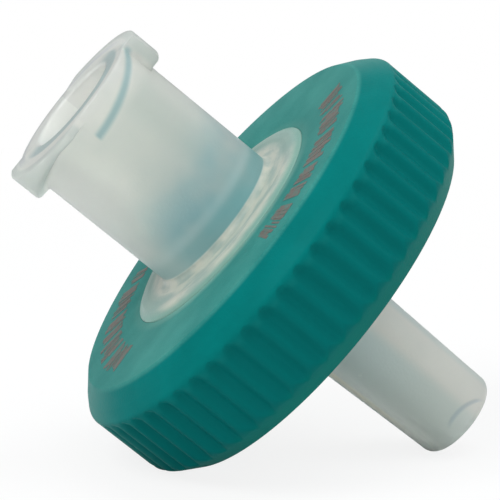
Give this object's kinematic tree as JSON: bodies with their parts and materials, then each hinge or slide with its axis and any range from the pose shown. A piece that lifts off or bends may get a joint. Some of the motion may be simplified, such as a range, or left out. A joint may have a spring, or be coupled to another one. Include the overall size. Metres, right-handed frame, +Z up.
{
  "type": "syringe filter",
  "caption": "Small round syringe filter: translucent housing with a female Luer hub and a male Luer nozzle, sealed in a ribbed teal grip ring.",
  "frame": {"origin": "centre of the bottom face of the filter's box as it lies at rest: on the table, under its middle", "axes": "+Z up from the table; +X horizontal, towards the outlet nozzle; the filter's own axis lies in the XZ plane, and its inlet hub points up and towards -X, 40.4 degrees above the table"},
  "size_m": [0.0206, 0.0198, 0.0187],
  "materials": {
    "natural_polypropylene": "translucent, natural, moulded",
    "teal_overmould": "satin, moulded",
    "membrane": "matt, porous"
  },
  "bodies": {
    "root": {"inlet_hub": "natural_polypropylene", "inlet_housing": "natural_polypropylene", "outlet_housing": "natural_polypropylene", "filter_membrane": "membrane", "grip_ring": "teal_overmould"}
  },
  "joints": []
}
